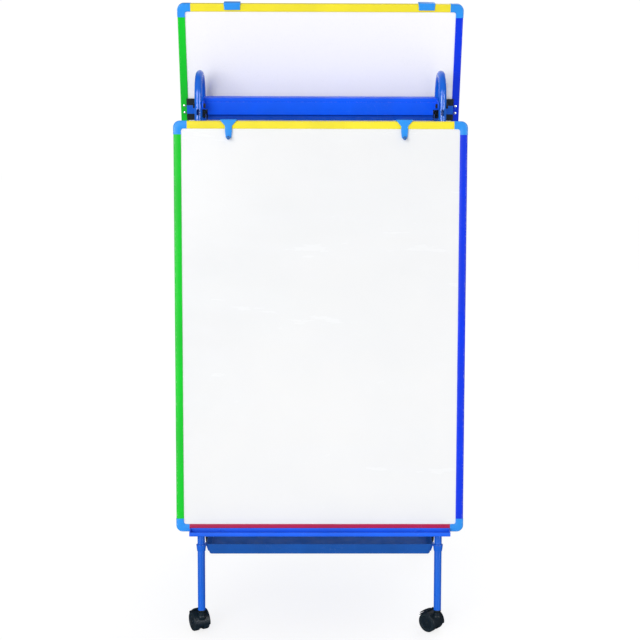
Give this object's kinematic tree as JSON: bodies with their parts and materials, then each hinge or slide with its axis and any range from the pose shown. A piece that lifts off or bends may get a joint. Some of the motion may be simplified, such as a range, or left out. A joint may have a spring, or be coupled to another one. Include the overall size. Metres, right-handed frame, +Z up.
{
  "type": "kids easel",
  "caption": "Double-sided mobile easel for children: sliding white boards in coloured rails on an arched blue tube frame with trays and casters.",
  "frame": {"origin": "on the floor, midway between the four legs", "axes": "+Z up, the front board faces -Y, +X to the right of a person facing the front board"},
  "size_m": [0.7212, 0.6037, 1.5749],
  "materials": {
    "frame_blue": "satin powder coat",
    "bar_blue": "satin powder coat",
    "tray_blue": "satin powder coat",
    "bright_blue": "satin",
    "yellow_rail": "satin powder coat",
    "green_rail": "satin powder coat",
    "blue_rail": "satin powder coat",
    "red_rail": "satin powder coat",
    "sky_plastic": "moulded, semi-gloss",
    "white_enamel": "glossy dry-wipe enamel",
    "board_core": "core board with a pale backing",
    "black_plastic": "moulded, satin",
    "tread": "matt",
    "zinc": "zinc plated",
    "black_steel": "blackened"
  },
  "bodies": {
    "frame": {"side_frame_left": "frame_blue", "side_frame_right": "frame_blue", "apex_crossbar": "bar_blue", "crossbar_bolts": "black_steel", "storage_tray": "tray_blue", "tray_collars": "frame_blue", "tray_screws": "zinc", "leg_sockets": "black_plastic", "stop_bolts": "zinc"},
    "front_board": {"front_top_rail": "yellow_rail", "front_left_rail": "green_rail", "front_right_rail": "blue_rail", "front_bottom_rail": "red_rail", "front_corner_caps": "sky_plastic", "front_writing_sheet": "white_enamel", "front_panel": "board_core", "front_pen_tray": "bright_blue", "front_slide_brackets": "frame_blue", "front_bracket_blocks": "black_plastic", "front_lower_guides": "black_plastic", "front_rivets": "zinc"},
    "front_hook_left_body": {"front_hook_left": "sky_plastic"},
    "front_knob_left_body": {"front_knob_left": "black_plastic"},
    "front_hook_right_body": {"front_hook_right": "sky_plastic"},
    "front_knob_right_body": {"front_knob_right": "black_plastic"},
    "rear_board": {"rear_top_rail": "yellow_rail", "rear_left_rail": "green_rail", "rear_right_rail": "blue_rail", "rear_bottom_rail": "red_rail", "rear_corner_caps": "sky_plastic", "rear_writing_sheet": "white_enamel", "rear_panel": "board_core", "rear_pen_tray": "bright_blue", "rear_slide_brackets": "frame_blue", "rear_bracket_blocks": "black_plastic", "rear_lower_guides": "black_plastic", "rear_rivets": "zinc"},
    "rear_hook_left_body": {"rear_hook_left": "sky_plastic"},
    "rear_knob_left_body": {"rear_knob_left": "black_plastic"},
    "rear_hook_right_body": {"rear_hook_right": "sky_plastic"},
    "rear_knob_right_body": {"rear_knob_right": "black_plastic"},
    "caster_fl": {"caster_fl_housing": "black_plastic", "caster_fl_steel": "zinc"},
    "caster_fl_wheel_a_body": {"caster_fl_wheel_a": "tread"},
    "caster_fl_wheel_b_body": {"caster_fl_wheel_b": "tread"},
    "brake_fl": {"brake_lever_fl": "black_plastic"},
    "caster_fr": {"caster_fr_housing": "black_plastic", "caster_fr_steel": "zinc"},
    "caster_fr_wheel_a_body": {"caster_fr_wheel_a": "tread"},
    "caster_fr_wheel_b_body": {"caster_fr_wheel_b": "tread"},
    "brake_fr": {"brake_lever_fr": "black_plastic"},
    "caster_rl": {"caster_rl_housing": "black_plastic", "caster_rl_steel": "zinc"},
    "caster_rl_wheel_a_body": {"caster_rl_wheel_a": "tread"},
    "caster_rl_wheel_b_body": {"caster_rl_wheel_b": "tread"},
    "caster_rr": {"caster_rr_housing": "black_plastic", "caster_rr_steel": "zinc"},
    "caster_rr_wheel_a_body": {"caster_rr_wheel_a": "tread"},
    "caster_rr_wheel_b_body": {"caster_rr_wheel_b": "tread"}
  },
  "joints": [
    {"name": "front_board_slide", "type": "slide", "parent": "frame", "child": "front_board", "axis": [0, 0.1564, 0.9877], "range_m": [0, 0.281]},
    {"name": "rear_board_slide", "type": "slide", "parent": "frame", "child": "rear_board", "axis": [0, -0.1564, 0.9877], "range_m": [-0.281, 0]},
    {"name": "front_hook_left_slide", "type": "slide", "parent": "front_board", "child": "front_hook_left_body", "axis": [1, 0, 0], "range_m": [-0.075, 0.201]},
    {"name": "front_hook_right_slide", "type": "slide", "parent": "front_board", "child": "front_hook_right_body", "axis": [1, 0, 0], "range_m": [-0.181, 0.095]},
    {"name": "front_knob_left_turn", "type": "hinge", "parent": "front_board", "child": "front_knob_left_body", "pos_m": [-0.302, -0.08743, 1.0211], "axis": [0, 0.9877, -0.1564], "range_deg": [-180, 180]},
    {"name": "front_knob_right_turn", "type": "hinge", "parent": "front_board", "child": "front_knob_right_body", "pos_m": [0.302, -0.08743, 1.0211], "axis": [0, 0.9877, -0.1564], "range_deg": [-180, 180]},
    {"name": "rear_hook_left_slide", "type": "slide", "parent": "rear_board", "child": "rear_hook_left_body", "axis": [1, 0, 0], "range_m": [-0.078, 0.198]},
    {"name": "rear_hook_right_slide", "type": "slide", "parent": "rear_board", "child": "rear_hook_right_body", "axis": [1, 0, 0], "range_m": [-0.243, 0.033]},
    {"name": "rear_knob_left_turn", "type": "hinge", "parent": "rear_board", "child": "rear_knob_left_body", "pos_m": [-0.302, 0.04347, 1.29865], "axis": [0, -0.9877, -0.1564], "range_deg": [-180, 180]},
    {"name": "rear_knob_right_turn", "type": "hinge", "parent": "rear_board", "child": "rear_knob_right_body", "pos_m": [0.302, 0.04347, 1.29865], "axis": [0, -0.9877, -0.1564], "range_deg": [-180, 180]},
    {"name": "caster_fl_swivel", "type": "hinge", "parent": "frame", "child": "caster_fl", "pos_m": [-0.302, -0.258, 0.05], "axis": [0, 0, 1], "continuous": true},
    {"name": "caster_fl_wheel_a_spin", "type": "hinge", "parent": "caster_fl", "child": "caster_fl_wheel_a_body", "pos_m": [-0.31045, -0.23988, 0.025], "axis": [0.9063, 0.4226, 0], "continuous": true},
    {"name": "caster_fl_wheel_b_spin", "type": "hinge", "parent": "caster_fl", "child": "caster_fl_wheel_b_body", "pos_m": [-0.31045, -0.23988, 0.025], "axis": [0.9063, 0.4226, 0], "continuous": true},
    {"name": "brake_fl_press", "type": "hinge", "parent": "caster_fl", "child": "brake_fl", "pos_m": [-0.31256, -0.23535, 0.057], "axis": [0.9063, 0.4226, 0], "range_deg": [0, 18]},
    {"name": "caster_fr_swivel", "type": "hinge", "parent": "frame", "child": "caster_fr", "pos_m": [0.302, -0.258, 0.05], "axis": [0, 0, 1], "continuous": true},
    {"name": "caster_fr_wheel_a_spin", "type": "hinge", "parent": "caster_fr", "child": "caster_fr_wheel_a_body", "pos_m": [0.28786, -0.24386, 0.025], "axis": [0.7071, 0.7071, 0], "continuous": true},
    {"name": "caster_fr_wheel_b_spin", "type": "hinge", "parent": "caster_fr", "child": "caster_fr_wheel_b_body", "pos_m": [0.28786, -0.24386, 0.025], "axis": [0.7071, 0.7071, 0], "continuous": true},
    {"name": "brake_fr_press", "type": "hinge", "parent": "caster_fr", "child": "brake_fr", "pos_m": [0.28432, -0.24033, 0.057], "axis": [0.7071, 0.7071, 0], "range_deg": [0, 18]},
    {"name": "caster_rl_swivel", "type": "hinge", "parent": "frame", "child": "caster_rl", "pos_m": [-0.302, 0.258, 0.05], "axis": [0, 0, 1], "continuous": true},
    {"name": "caster_rl_wheel_a_spin", "type": "hinge", "parent": "caster_rl", "child": "caster_rl_wheel_a_body", "pos_m": [-0.30884, 0.2768, 0.025], "axis": [0.9397, 0.342, 0], "continuous": true},
    {"name": "caster_rl_wheel_b_spin", "type": "hinge", "parent": "caster_rl", "child": "caster_rl_wheel_b_body", "pos_m": [-0.30884, 0.2768, 0.025], "axis": [0.9397, 0.342, 0], "continuous": true},
    {"name": "caster_rr_swivel", "type": "hinge", "parent": "frame", "child": "caster_rr", "pos_m": [0.302, 0.258, 0.05], "axis": [0, 0, 1], "continuous": true},
    {"name": "caster_rr_wheel_a_spin", "type": "hinge", "parent": "caster_rr", "child": "caster_rr_wheel_a_body", "pos_m": [0.31347, 0.27439, 0.025], "axis": [0.8192, -0.5736, 0], "continuous": true},
    {"name": "caster_rr_wheel_b_spin", "type": "hinge", "parent": "caster_rr", "child": "caster_rr_wheel_b_body", "pos_m": [0.31347, 0.27439, 0.025], "axis": [0.8192, -0.5736, 0], "continuous": true}
  ]
}
